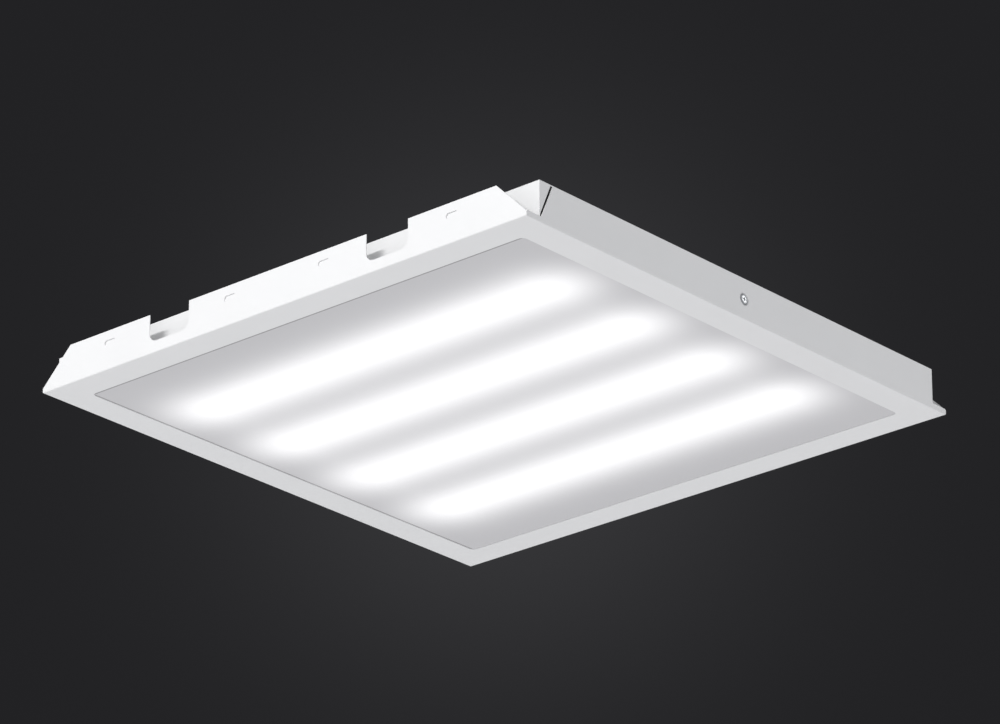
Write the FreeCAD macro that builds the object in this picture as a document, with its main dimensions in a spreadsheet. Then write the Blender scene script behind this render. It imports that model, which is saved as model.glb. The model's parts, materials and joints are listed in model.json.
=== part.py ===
"""Recessed ceiling luminaire for a 600 mm exposed grid, as a parametric document.

A folded steel frame, open underneath, carries an opal sheet on its lip. A folded steel tray drops
in on top of the sheet and is held by a screw in each side upstand. Four strips of light-emitting
diodes are riveted under the tray. A vented cover on top of the tray holds the driver, and a
push-in terminal block stands half out of its end, ahead of a clamp for the mains cord.

Millimetres. The origin is at the centre of the underside of the frame's lip, and +Z points up
into the ceiling void. The strips run along X, and the notched skirts face -Y and +Y.
"""
import FreeCAD
import Part
import os
import Sketcher

SIZES = {
    # Frame: one folded sheet with a lip all round and four upstands.
    "outer_width": 595.0,        # outside of the square frame, for a 600 mm grid
    "frame_sheet": 0.7,
    "bend_radius": 1.2,          # outside of the fold between the lip and an upstand
    "lip_width": 32.0,           # the visible rim round the light opening
    "opening_radius": 5.5,       # corners of the light opening
    "skirt_height": 39.0,        # front and rear upstands
    "skirt_end_height": 4.6,     # upright part of a skirt's end, under its slant
    "skirt_slant": 34.8,         # length along X of the slant at a skirt's end
    "side_height": 39.7,         # left and right upstands
    "side_end_height": 5.6,      # low strip at each end of a side upstand
    "side_end_low": 19.5,        # from the corner to the foot of the slanted end
    "side_end_high": 35.0,       # from the corner to the top of the slanted end
    "notch_width": 50.0,
    "notch_centre": 134.4,       # from the middle of the skirt
    "notch_floor": 11.6,
    "notch_radius": 9.0,
    "dimple_offset": 76.5,       # a dimple stands this far on either side of a notch
    "dimple_level": 27.0,
    "dimple_length": 13.5,
    "dimple_width": 5.8,
    "dimple_depth": 1.0,
    "dimple_bevel": 1.7,         # cut off each corner of a dimple
    # Screws in the side upstands, each in a pressed cup, with a nut cage behind the tray's wall.
    "screw_level": 19.7,
    "cup_mouth": 12.6,
    "cup_floor": 9.6,
    "cup_depth": 2.0,
    "screw_diameter": 4.0,
    "screw_head": 8.4,
    "screw_head_depth": 1.9,
    "screw_length": 7.0,         # shank, under the head
    "screw_hole_gap": 0.4,       # between the shank and the sheets, on the radius
    "thread_gap": 0.05,          # between the thread and its nut, on the radius
    "cage_window": 14.0,         # square hole in the tray's wall, which the cup enters
    "cage_width": 20.0,
    "cage_floor": 1.6,
    "cross_width": 1.1,          # cross recess in the head
    "cross_length": 4.6,
    "cross_depth": 1.2,
    # Opal sheet.
    "opal_sheet": 1.5,
    "opal_side_gap": 2.8,        # from the sheet's edge to each upstand
    "opal_gap": 0.1,             # over the sheet, so that it can grow when it warms
    # Tray: one folded sheet, open underneath.
    "tray_sheet": 0.6,
    "tray_top": 41.1,
    "tray_side_gap": 0.5,        # inside each side upstand
    "channel_width": 17.8,       # between a skirt and the tray's wall
    "tab_width": 14.5,           # corner tab, at its top
    "tab_foot": 8.0,             # level at which the tab has tapered away
    "slit_margin": 1.2,          # the slit hides this far behind the side upstand
    "hanger_pitch": 470.0,       # square of holes for hanging wires
    "hanger_hole": 4.5,
    # Light strips.
    "strip_pitch": 110.0,
    "strip_width": 18.0,
    "strip_sheet": 1.0,
    "diode_count": 20,
    "diode_pitch": 24.4,
    "diode_length": 3.5,
    "diode_width": 2.8,
    "diode_depth": 0.7,
    "rivet_skip": 8,             # diode pitches from one rivet to the next, so rivets miss diodes
    "rivet_width": 3.2,          # square shank
    "rivet_head": 6.4,
    "rivet_head_depth": 1.3,
    "rivet_barb": 4.4,
    "rivet_barb_depth": 2.0,
    "rivet_gap": 0.1,            # between a rivet's shank and each side of its hole
    "plug_length": 9.0,          # lead connector at the end of a strip
    "plug_width": 6.4,
    "plug_depth": 4.2,
    "plug_inset": 2.0,           # from the strip's end
    "plug_gap": 1.25,            # from a plug to the nearest diode
    # Cover over the driver.
    "cover_sheet": 0.7,
    "grommet_room": 24.0,        # from the cover's end to the driver
    "wiring_room": 68.0,         # from the driver to the cover's other end
    "cover_width": 76.0,
    "cover_depth": 28.0,
    "cover_flange": 12.0,
    "cover_bevel": 5.0,          # cut off each corner of the flanges
    "vent_count": 8,
    "vent_pitch": 15.0,
    "vent_width": 3.2,
    "vent_length": 13.0,
    "vent_level": 15.4,          # middle of a vent, above the tray
    "cover_screw_inset": 30.0,   # from the cover's end
    "tapping_screw": 3.5,        # screws of the cover and of the cord clamp
    "tapping_head": 6.8,         # across the flats
    "tapping_head_depth": 2.3,
    "tapping_length": 5.0,       # shank, below the sheet or clamp that it holds
    # Driver.
    "driver_length": 168.0,
    "driver_width": 56.0,
    "driver_sheet": 1.6,
    "driver_lift": 4.0,          # clear height under the circuit board
    "liner_sheet": 0.4,
    "liner_margin": 4.0,
    "post_width": 6.0,
    "post_neck": 2.6,            # where a post passes through the board
    "post_knob": 4.0,
    "post_knob_depth": 1.5,
    "post_inset": 5.0,
    "core_length": 28.0,
    "core_height": 19.0,
    "core_depth": 12.0,
    "core_leg": 3.5,             # outer legs and yokes; the middle leg is twice as wide
    "winding_gap": 0.2,
    "can_diameter": 12.5,
    "can_height": 19.0,
    "can_pitch": 16.0,
    "can_shift": 38.0,
    "film_length": 18.0,
    "film_width": 9.0,
    "film_height": 14.0,
    "film_side": 4.0,            # from the middle line of the board
    "choke_diameter": 17.0,
    "choke_bore": 6.8,
    "choke_height": 9.0,
    "port_length": 10.0,
    "port_width": 18.0,
    "port_height": 9.0,
    # Terminal block and its push buttons.
    "block_length": 34.0,
    "block_height": 16.5,
    "block_inside": 12.0,        # how much of the block stands under the cover
    "block_gap": 0.4,            # round the block in the cover's end
    "pole_pitch": 12.5,
    "pole_gap": 0.2,             # between the housings of two poles
    "wire_hole": 3.4,
    "wire_depth": 12.0,
    "wire_level": 5.4,           # above the tray
    "mouth_width": 4.6,          # square lead-in ahead of each wire hole
    "mouth_depth": 1.0,
    "button_length": 8.0,
    "button_width": 6.4,
    "button_depth": 7.0,         # inside the block, at rest
    "button_proud": 2.4,
    "button_travel": 1.8,
    "button_gap": 0.2,
    "button_inset": 8.5,         # from the block's outer end to the middle of a button
    "button_bevel": 0.5,
    "button_slot_length": 4.6,   # for the tip of a screwdriver
    "button_slot_width": 1.3,
    "button_slot_depth": 0.8,
    # Cord clamp.
    "clamp_distance": 26.0,      # from the block's outer end
    "clamp_length": 48.0,
    "clamp_width": 11.0,
    "clamp_sheet": 3.0,
    "clamp_screw_pitch": 38.0,
    "cord_space": 9.0,           # diameter of the cord that the clamp takes
    "clamp_bevel": 3.0,          # cut off each shoulder of the arch, inside and outside
    # Leads and grommet.
    "lead_diameter": 1.8,        # single leads, from the terminal block
    "flat_width": 3.8,           # twin leads to the strips
    "flat_depth": 1.8,
    "flat_level": 3.3,           # middle of a twin lead, below the strips
    "flat_gap": 1.0,             # between the twin leads where they run side by side
    "flat_bend": 2.0,            # inside of a bend over the flat side
    "flat_turn": 4.0,            # inside of a bend over the narrow side
    "flat_joint": 20.0,          # from the grommet to where a twin lead's outline changes plane
    "turn_reach": 8.0,           # how far the leads swing past a strip's end
    "grommet_inset": 10.0,       # from the cover's end
    "grommet_play": 0.5,         # between the leads and the slot, on each side
    "grommet_wall": 1.5,
    "grommet_flange": 1.6,
    "grommet_lip": 1.2,
    "grommet_gap": 0.05,
    # Earth screw and its tag.
    "earth_inset": 42.0,         # from the cover's end
    "earth_screw": 4.0,
    "earth_head": 7.0,
    "earth_head_depth": 2.6,
    "earth_shank": 7.0,
    "earth_nut": 7.0,
    "earth_nut_depth": 3.2,
    "tag_diameter": 9.0,
    "tag_sheet": 0.8,
    "tag_barrel": 5.0,
    "tag_overlap": 0.3,          # of the barrel and the ring
    "tag_wall": 0.4,
}

document = FreeCAD.newDocument("recessed_luminaire")
sheet = document.addObject("Spreadsheet::Sheet", "Sizes")
for row, (alias, number) in enumerate(SIZES.items(), start=1):
    sheet.set(f"A{row}", alias)
    sheet.set(f"B{row}", str(number))
    sheet.setAlias(f"B{row}", alias)
document.recompute()

# Places that several pieces share, as expressions on the sheet's cells.
HALF = "(Sizes.outer_width / 2)"
HALF_TRAY_X = f"({HALF} - Sizes.frame_sheet - Sizes.tray_side_gap)"
HALF_TRAY_Y = f"({HALF} - Sizes.frame_sheet - Sizes.channel_width)"
TRAY_FOOT = "(Sizes.frame_sheet + Sizes.opal_sheet + Sizes.opal_gap)"
CEILING = "(Sizes.tray_top - Sizes.tray_sheet)"
CUP_FACE = f"({HALF} - Sizes.cup_depth)"
CUP_BACK = f"({CUP_FACE} - Sizes.frame_sheet)"
SCREW_HOLE = "(Sizes.screw_diameter / 2 + Sizes.screw_hole_gap)"
PLUG_START = ("((Sizes.diode_count - 1) * Sizes.diode_pitch / 2 + Sizes.diode_length / 2"
              " + Sizes.plug_gap)")
PLUG_END = f"({PLUG_START} + Sizes.plug_length)"
STRIP_END = f"({PLUG_END} + Sizes.plug_inset)"
OPAL_HALF = f"({HALF} - Sizes.frame_sheet - Sizes.opal_side_gap)"
STRIP_FACE = f"({CEILING} - Sizes.strip_sheet)"
INNER_STRIP = "(Sizes.strip_pitch / 2)"
OUTER_STRIP = "(Sizes.strip_pitch * 3 / 2)"
RIVET_PITCH = "(Sizes.rivet_skip * Sizes.diode_pitch)"
RIVET_HOLE = "(Sizes.rivet_width / 2 + Sizes.rivet_gap)"
COVER_END = "((Sizes.grommet_room + Sizes.driver_length + Sizes.wiring_room) / 2)"
COVER_HALF = "(Sizes.cover_width / 2)"
COVER_SCREW_X = f"({COVER_END} - Sizes.cover_screw_inset)"
COVER_SCREW_Y = f"({COVER_HALF} + Sizes.cover_flange / 2)"
BLOCK_START = f"({COVER_END} - Sizes.block_inside)"
BLOCK_END = f"({BLOCK_START} + Sizes.block_length)"
BLOCK_TOP = "(Sizes.tray_top + Sizes.block_height)"
BUTTON_X = f"({BLOCK_END} - Sizes.button_inset)"
CLAMP_X = f"({BLOCK_END} + Sizes.clamp_distance)"
CLAMP_SEAT = "(Sizes.tray_top + Sizes.clamp_sheet)"
LINER_TOP = "(Sizes.tray_top + Sizes.liner_sheet)"
BOARD_FOOT = f"({LINER_TOP} + Sizes.driver_lift)"
BOARD_TOP = f"({BOARD_FOOT} + Sizes.driver_sheet)"
DRIVER_START = f"(Sizes.grommet_room - {COVER_END})"
DRIVER_X = f"({DRIVER_START} + Sizes.driver_length / 2)"
DRIVER_END = f"({DRIVER_START} + Sizes.driver_length)"
PORT_LEVEL = f"({BOARD_TOP} + Sizes.port_height / 2)"
MAINS_Y = "(Sizes.pole_pitch / 2)"
TAPPING_HOLE = "(Sizes.tapping_screw / 2 + Sizes.thread_gap)"
EARTH_HOLE = "(Sizes.earth_screw / 2 + Sizes.thread_gap)"
EARTH_X = f"({COVER_END} - Sizes.earth_inset)"
EARTH_Y = "(-Sizes.pole_pitch)"
TAG_LEVEL = "(Sizes.tray_top + Sizes.lead_diameter / 2 + Sizes.tag_wall)"
BARREL_START = f"({EARTH_X} + Sizes.tag_diameter / 2 - Sizes.tag_overlap)"
GROMMET_X = f"(Sizes.grommet_inset - {COVER_END})"
SLOT_X = "(Sizes.flat_depth / 2 + Sizes.grommet_play)"
SLOT_Y = "(Sizes.flat_width + Sizes.flat_gap / 2 + Sizes.grommet_play)"
SIGNS = ("-", "")
TOUCH = 1e-4      # two places closer than this are the same place

pieces = []


def size(expression):
    """The present value of an expression on the sheet."""
    return float(sheet.evalExpression(expression))


def bind(thing, **expressions):
    """Bind properties of an object to expressions; two underscores stand for a dot."""
    for name, expression in expressions.items():
        thing.setExpression(name.replace("__", "."), expression)


# ------------------------------------------------------------------ sketches and features

def new_body(label):
    body = document.addObject("PartDesign::Body", label)
    body.Label = label
    body.AllowCompound = True
    pieces.append(body)
    return body


def origin_feature(body, role):
    """An origin plane or axis of the body."""
    return [feature for feature in body.Origin.OriginFeatures if feature.Role == role][0]


def new_sketch(body, role, offset="0"):
    """A sketch on an origin plane of the body, moved along the plane's normal."""
    sketch = body.newObject("Sketcher::SketchObject", "sketch")
    sketch.AttachmentSupport = [(origin_feature(body, role), "")]
    sketch.MapMode = "FlatFace"
    bind(sketch, AttachmentOffset__Base__z=offset)
    return sketch


def hold(sketch, geometry, point, x, y):
    """Hold one point of a sketch at two expressions, measured from the sketch's origin."""
    for kind, expression in (("DistanceX", x), ("DistanceY", y)):
        rule = Sketcher.Constraint(kind, -1, 1, geometry, point, size(expression))
        index = sketch.addConstraint(rule)
        sketch.setExpression(f"Constraints[{index}]", expression)


def circle(sketch, x, y, radius):
    centre = FreeCAD.Vector(size(x), size(y), 0)
    normal = FreeCAD.Vector(0, 0, 1)
    geometry = sketch.addGeometry(Part.Circle(centre, normal, size(radius)))
    hold(sketch, geometry, 3, x, y)
    index = sketch.addConstraint(Sketcher.Constraint("Radius", geometry, size(radius)))
    sketch.setExpression(f"Constraints[{index}]", radius)


def towards(corner, neighbour):
    """The point one corner radius from a rounded corner, along the side to its neighbour."""
    x, y, radius = corner
    across = size(neighbour[0]) - size(x)
    along = size(neighbour[1]) - size(y)
    if abs(across) > abs(along):
        return (f"{x} {'+' if across > 0 else '-'} {radius}", y)
    return (x, f"{y} {'+' if along > 0 else '-'} {radius}")


def outline(sketch, corners):
    """A closed outline. A corner is (x, y), or (x, y, radius) where two square sides meet."""
    count = len(corners)
    arrive = []
    leave = []
    for index, corner in enumerate(corners):
        rounded = len(corner) == 3
        arrive.append(towards(corner, corners[index - 1]) if rounded else corner)
        leave.append(towards(corner, corners[(index + 1) % count]) if rounded else corner)
    lines = []
    for index in range(count):
        ends = (leave[index], arrive[(index + 1) % count])
        vectors = [FreeCAD.Vector(size(x), size(y), 0) for x, y in ends]
        lines.append(sketch.addGeometry(Part.LineSegment(*vectors)))
        hold(sketch, lines[-1], 1, *ends[0])
    for index, corner in enumerate(corners):
        before = lines[index - 1]
        if len(corner) == 2:
            sketch.addConstraint(Sketcher.Constraint("Coincident", before, 2, lines[index], 1))
            continue
        hold(sketch, before, 2, *arrive[index])
        round_corner(sketch, before, lines[index], corner, arrive[index], leave[index])


def round_corner(sketch, before, after, corner, start, finish):
    """An arc from the end of one line to the start of the next, tangent to the first."""
    first = FreeCAD.Vector(size(start[0]), size(start[1]), 0)
    last = FreeCAD.Vector(size(finish[0]), size(finish[1]), 0)
    tip = FreeCAD.Vector(size(corner[0]), size(corner[1]), 0)
    centre = first + last - tip
    middle = centre + (tip - centre).normalize() * size(corner[2])
    arc = sketch.addGeometry(Part.Arc(first, middle, last))
    turned_back = (sketch.getPoint(arc, 1) - first).Length > (sketch.getPoint(arc, 2) - first).Length
    near, far = (2, 1) if turned_back else (1, 2)
    sketch.addConstraint(Sketcher.Constraint("Tangent", before, 2, arc, near))
    sketch.addConstraint(Sketcher.Constraint("Coincident", arc, far, after, 1))


def rectangle(sketch, x, y, half_length, half_width, radius=None):
    """A rectangle round (x, y), with its corners rounded where a radius is given."""
    corners = []
    for across, along in (("-", "-"), ("+", "-"), ("+", "+"), ("-", "+")):
        corner = (f"{x} {across} {half_length}", f"{y} {along} {half_width}")
        corners.append(corner + (radius,) if radius else corner)
    outline(sketch, corners)


def bevelled(sketch, x, y, half_length, half_width, bevel):
    """A rectangle round (x, y) with each corner cut off straight."""
    corners = []
    for across, along in (("-", "-"), ("+", "-"), ("+", "+"), ("-", "+")):
        ends = (f"{x} {across} ({half_length} - {bevel})", f"{y} {along} {half_width}")
        sides = (f"{x} {across} {half_length}", f"{y} {along} ({half_width} - {bevel})")
        corners += [sides, ends] if across == along else [ends, sides]
    outline(sketch, corners)


def hexagon(sketch, x, y, width):
    """A hexagon round (x, y), by its width across the flats."""
    tip = f"({width} * tan(30 deg))"
    outline(sketch, [
        (f"{x} + {tip}", y),
        (f"{x} + {tip} / 2", f"{y} + {width} / 2"),
        (f"{x} - {tip} / 2", f"{y} + {width} / 2"),
        (f"{x} - {tip}", y),
        (f"{x} - {tip} / 2", f"{y} - {width} / 2"),
        (f"{x} + {tip} / 2", f"{y} - {width} / 2"),
    ])


def pad(body, sketch, length, reverse=False):
    feature = body.newObject("PartDesign::Pad", "pad")
    feature.Profile = sketch
    feature.Reversed = reverse
    bind(feature, Length=length)
    document.recompute()
    return feature


def pocket(body, sketch, length, reverse=False):
    """Cut against the sketch's normal, or along it when reversed; the volume must fall."""
    before = body.Shape.Volume
    feature = body.newObject("PartDesign::Pocket", "pocket")
    feature.Profile = sketch
    feature.Reversed = reverse
    bind(feature, Length=length)
    document.recompute()
    if body.Shape.Volume >= before:
        raise RuntimeError(f"a pocket in {body.Label} cuts nothing")
    return feature


def turn(body, role, axis, profile, cut=False):
    """Turn a profile round a line of its sketch, given as two points, to add or to cut."""
    sketch = new_sketch(body, role)
    ends = [FreeCAD.Vector(size(x), size(y), 0) for x, y in axis]
    line = sketch.addGeometry(Part.LineSegment(*ends), True)
    hold(sketch, line, 1, *axis[0])
    hold(sketch, line, 2, *axis[1])
    outline(sketch, profile)
    kind = "PartDesign::Groove" if cut else "PartDesign::Revolution"
    feature = body.newObject(kind, "groove" if cut else "revolution")
    feature.Profile = sketch
    feature.ReferenceAxis = (sketch, ["Axis0"])
    feature.Angle = 360
    document.recompute()
    return feature


def mirror(body, features, role):
    """Repeat features on the other side of an origin plane."""
    feature = body.newObject("PartDesign::Mirrored", "mirrored")
    feature.Originals = features
    feature.MirrorPlane = (origin_feature(body, role), [""])
    body.Tip = feature
    document.recompute()


def repeat(body, features, steps, mirror_role=None):
    """Repeat features along origin axes, then on the other side of a plane."""
    grid = body.newObject("PartDesign::MultiTransform", "grid")
    grid.Originals = features
    moves = []
    for role, pitch, count in steps:
        step = body.newObject("PartDesign::LinearPattern", "step")
        step.Direction = (origin_feature(body, role), [""])
        step.Mode = "Spacing"
        bind(step, Offset=pitch, Occurrences=count)
        moves.append(step)
    if mirror_role:
        step = body.newObject("PartDesign::Mirrored", "step")
        step.MirrorPlane = (origin_feature(body, mirror_role), [""])
        moves.append(step)
    grid.Transformations = moves
    body.Tip = grid
    document.recompute()


def tip_edges(body, wanted):
    """The body's tip and the names of its edges that the test accepts."""
    tip = body.Tip
    names = []
    for index, edge in enumerate(tip.Shape.Edges, start=1):
        if wanted(edge):
            names.append(f"Edge{index}")
    return (tip, names)


def round_edges(body, radius, wanted):
    edges = tip_edges(body, wanted)
    feature = body.newObject("PartDesign::Fillet", "fillet")
    feature.Base = edges
    bind(feature, Radius=radius)
    document.recompute()


def bevel_edges(body, width, wanted):
    edges = tip_edges(body, wanted)
    feature = body.newObject("PartDesign::Chamfer", "chamfer")
    feature.Base = edges
    bind(feature, Size=width)
    document.recompute()


def level_edge(level, half_x, half_y):
    """A test for the four edges of a rectangle round the origin, by their level and places."""
    height = size(level)
    across = size(half_x)
    along = size(half_y)

    def wanted(edge):
        box = edge.BoundBox
        flat = abs(box.ZMin - height) < TOUCH and abs(box.ZMax - height) < TOUCH
        along_y = abs(abs(box.XMin) - across) < TOUCH and box.XLength < TOUCH
        along_x = abs(abs(box.YMin) - along) < TOUCH and box.YLength < TOUCH
        return flat and (along_x or along_y)
    return wanted


# ------------------------------------------------------------------ simple solids

def block(label, x, y, z, holes=()):
    """A rectangular piece between two expressions along each axis, less some square holes."""
    body = new_body(label)
    sketch = new_sketch(body, "XY_Plane", z[0])
    middle_x = f"(({x[0]}) + ({x[1]})) / 2"
    middle_y = f"(({y[0]}) + ({y[1]})) / 2"
    half_x = f"(({x[1]}) - ({x[0]})) / 2"
    half_y = f"(({y[1]}) - ({y[0]})) / 2"
    rectangle(sketch, middle_x, middle_y, half_x, half_y)
    for across, along, half in holes:
        rectangle(sketch, across, along, half, half)
    pad(body, sketch, f"({z[1]}) - ({z[0]})")


def upright(body, places, level, length, half, reverse=False):
    """Add a square prism on each of some places, all from one level."""
    sketch = new_sketch(body, "XY_Plane", level)
    for x, y in places:
        rectangle(sketch, x, y, half, half)
    return pad(body, sketch, length, reverse)


def screws(label, places, seat, head, head_depth, shank, length):
    """Hexagon-headed screws, upright on one seat, whose shanks point down."""
    body = new_body(label)
    heads = new_sketch(body, "XY_Plane", seat)
    shanks = new_sketch(body, "XY_Plane", seat)
    for x, y in places:
        hexagon(heads, x, y, head)
        circle(shanks, x, y, f"{shank} / 2")
    pad(body, heads, head_depth)
    pad(body, shanks, length, reverse=True)


# ------------------------------------------------------------------ frame, opal sheet, tray

def skirt_corners():
    """What is cut from above a skirt: its slanted ends and its two rounded notches."""
    corners = [
        (f"-{HALF} - Sizes.frame_sheet", "Sizes.skirt_end_height"),
        (f"-{HALF}", "Sizes.skirt_end_height"),
        (f"-{HALF} + Sizes.skirt_slant", "Sizes.skirt_height"),
    ]
    for sign in SIGNS:
        centre = f"{sign}Sizes.notch_centre"
        left = f"{centre} - Sizes.notch_width / 2"
        right = f"{centre} + Sizes.notch_width / 2"
        corners.append((left, "Sizes.skirt_height"))
        corners.append((left, "Sizes.notch_floor", "Sizes.notch_radius"))
        corners.append((right, "Sizes.notch_floor", "Sizes.notch_radius"))
        corners.append((right, "Sizes.skirt_height"))
    corners.append((f"{HALF} - Sizes.skirt_slant", "Sizes.skirt_height"))
    corners.append((HALF, "Sizes.skirt_end_height"))
    corners.append((f"{HALF} + Sizes.frame_sheet", "Sizes.skirt_end_height"))
    corners.append((f"{HALF} + Sizes.frame_sheet", "Sizes.side_height"))
    corners.append((f"-{HALF} - Sizes.frame_sheet", "Sizes.side_height"))
    return corners


def press_dimples(body, inside):
    """Press a dimple inward on either side of each notch, in both skirts."""
    swell = new_sketch(body, "XZ_Plane", inside)
    dent = new_sketch(body, "XZ_Plane", HALF)
    length = "(Sizes.dimple_length / 2)"
    width = "(Sizes.dimple_width / 2)"
    for side in SIGNS:
        for step in "-+":
            centre = f"{side}Sizes.notch_centre {step} Sizes.dimple_offset"
            bevelled(swell, centre, "Sizes.dimple_level", f"({length} + Sizes.frame_sheet)",
                     f"({width} + Sizes.frame_sheet)", "Sizes.dimple_bevel")
            bevelled(dent, centre, "Sizes.dimple_level", length, width, "Sizes.dimple_bevel")
    features = [
        pad(body, swell, "Sizes.dimple_depth", reverse=True),
        pocket(body, dent, "Sizes.dimple_depth"),
    ]
    mirror(body, features, "XZ_Plane")


def press_cups(body):
    """Press a conical cup inward in each side upstand, with a screw hole in its floor."""
    level = "Sizes.screw_level"
    inner = f"{HALF} - Sizes.frame_sheet"
    half_sheet = "Sizes.frame_sheet / 2"
    floor = f"{level} + Sizes.cup_floor / 2"
    mouth = f"{level} + Sizes.cup_mouth / 2"
    axis = ((CUP_BACK, level), (HALF, level))
    bulge = [
        (inner, level),
        (CUP_BACK, level),
        (CUP_BACK, f"{floor} + {half_sheet}"),
        (inner, f"{mouth} + {half_sheet}"),
    ]
    dish = [(HALF, level), (CUP_FACE, level), (CUP_FACE, floor), (HALF, mouth)]
    features = [
        turn(body, "XZ_Plane", axis, bulge),
        turn(body, "XZ_Plane", axis, dish, cut=True),
    ]
    sketch = new_sketch(body, "YZ_Plane", CUP_FACE)
    circle(sketch, "0", level, SCREW_HOLE)
    features.append(pocket(body, sketch, "Sizes.frame_sheet"))
    mirror(body, features, "YZ_Plane")


def make_frame():
    body = new_body("frame")
    sketch = new_sketch(body, "XY_Plane")
    rectangle(sketch, "0", "0", HALF, HALF)
    pad(body, sketch, "Sizes.side_height")
    inside = f"({HALF} - Sizes.frame_sheet)"
    sketch = new_sketch(body, "XY_Plane", "Sizes.frame_sheet")
    rectangle(sketch, "0", "0", inside, inside)
    pocket(body, sketch, "Sizes.side_height", reverse=True)
    opening = f"({HALF} - Sizes.lip_width)"
    sketch = new_sketch(body, "XY_Plane", "Sizes.frame_sheet")
    rectangle(sketch, "0", "0", opening, opening, "Sizes.opening_radius")
    pocket(body, sketch, "Sizes.frame_sheet")
    round_edges(body, "Sizes.bend_radius", level_edge("0", HALF, HALF))
    round_edges(body, "Sizes.bend_radius - Sizes.frame_sheet",
                level_edge("Sizes.frame_sheet", inside, inside))

    sketch = new_sketch(body, "XZ_Plane", HALF)
    outline(sketch, skirt_corners())
    cuts = [pocket(body, sketch, "Sizes.frame_sheet")]
    mirror(body, cuts, "XZ_Plane")

    sketch = new_sketch(body, "YZ_Plane", HALF)
    for sign, away, back in (("-", "-", "+"), ("", "+", "-")):
        outline(sketch, [
            (f"{sign}{HALF} {away} Sizes.frame_sheet", "Sizes.side_end_height"),
            (f"{sign}{HALF} {back} Sizes.side_end_low", "Sizes.side_end_height"),
            (f"{sign}{HALF} {back} Sizes.side_end_high", "Sizes.side_height"),
            (f"{sign}{HALF} {away} Sizes.frame_sheet", "Sizes.side_height"),
        ])
    cuts = [pocket(body, sketch, "Sizes.frame_sheet")]
    mirror(body, cuts, "YZ_Plane")
    press_dimples(body, inside)
    press_cups(body)


def make_opal_sheet():
    side = (f"-{OPAL_HALF}", OPAL_HALF)
    block("opal_sheet", side, side, ("Sizes.frame_sheet", "Sizes.frame_sheet + Sizes.opal_sheet"))


def strip_lines():
    """The Y of each light strip's middle line."""
    return [f"-{OUTER_STRIP}", f"-{INNER_STRIP}", INNER_STRIP, OUTER_STRIP]


def rivet_places():
    places = []
    for y in strip_lines():
        for x in (f"-{RIVET_PITCH}", "0", RIVET_PITCH):
            places.append((x, y))
    return places


def cover_screw_places():
    """One screw in each flange of the cover, at opposite ends."""
    return [(f"-{COVER_SCREW_X}", COVER_SCREW_Y), (COVER_SCREW_X, f"-{COVER_SCREW_Y}")]


def clamp_screw_places():
    return [(CLAMP_X, f"{sign}Sizes.clamp_screw_pitch / 2") for sign in SIGNS]


def tray_holes(sketch):
    """Every hole through the top of the tray."""
    for x_sign in SIGNS:
        for y_sign in SIGNS:
            circle(sketch, f"{x_sign}Sizes.hanger_pitch / 2", f"{y_sign}Sizes.hanger_pitch / 2",
                   "Sizes.hanger_hole / 2")
    for x, y in cover_screw_places() + clamp_screw_places():
        circle(sketch, x, y, TAPPING_HOLE)
    for x, y in rivet_places():
        rectangle(sketch, x, y, RIVET_HOLE, RIVET_HOLE)
    rectangle(sketch, GROMMET_X, "0", f"({SLOT_X} + Sizes.grommet_wall)",
              f"({SLOT_Y} + Sizes.grommet_wall)")
    circle(sketch, EARTH_X, EARTH_Y, EARTH_HOLE)


def make_tray():
    body = new_body("tray")
    sketch = new_sketch(body, "XY_Plane", TRAY_FOOT)
    rectangle(sketch, "0", "0", HALF_TRAY_X, HALF_TRAY_Y)
    pad(body, sketch, f"Sizes.tray_top - {TRAY_FOOT}")
    round_edges(body, "Sizes.tray_sheet", level_edge("Sizes.tray_top", HALF_TRAY_X, HALF_TRAY_Y))
    inner_x = f"({HALF_TRAY_X} - Sizes.tray_sheet)"
    inner_y = f"({HALF_TRAY_Y} - Sizes.tray_sheet)"
    sketch = new_sketch(body, "XY_Plane", TRAY_FOOT)
    rectangle(sketch, "0", "0", inner_x, inner_y)
    pocket(body, sketch, f"{CEILING} - {TRAY_FOOT}", reverse=True)

    sketch = new_sketch(body, "YZ_Plane", HALF_TRAY_X)
    for sign, back in (("-", "+"), ("", "-")):
        corner = f"{sign}{inner_y}"
        slant = f"{sign}{HALF} {back} Sizes.side_end"
        outline(sketch, [
            (f"{sign}{HALF_TRAY_Y} {back} Sizes.tab_width", "Sizes.side_height"),
            (corner, "Sizes.tab_foot"),
            (corner, "Sizes.side_end_height"),
            (f"{slant}_low {back} Sizes.slit_margin", "Sizes.side_end_height"),
            (f"{slant}_high {back} Sizes.slit_margin", "Sizes.side_height"),
        ])
    window = "(Sizes.cage_window / 2)"
    rectangle(sketch, "0", "Sizes.screw_level", window, window)
    cuts = [pocket(body, sketch, "Sizes.tray_sheet")]
    mirror(body, cuts, "YZ_Plane")

    sketch = new_sketch(body, "XY_Plane", "Sizes.tray_top")
    tray_holes(sketch)
    pocket(body, sketch, "Sizes.tray_sheet")


def cross(sketch, level):
    """The outline of a cross recess round a level on the sketch's upright axis."""
    arm = "Sizes.cross_length / 2"
    web = "Sizes.cross_width / 2"
    outline(sketch, [
        (f"-{arm}", f"{level} - {web}"), (f"-{web}", f"{level} - {web}"),
        (f"-{web}", f"{level} - {arm}"), (web, f"{level} - {arm}"),
        (web, f"{level} - {web}"), (arm, f"{level} - {web}"),
        (arm, f"{level} + {web}"), (web, f"{level} + {web}"),
        (web, f"{level} + {arm}"), (f"-{web}", f"{level} + {arm}"),
        (f"-{web}", f"{level} + {web}"), (f"-{arm}", f"{level} + {web}"),
    ])


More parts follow.
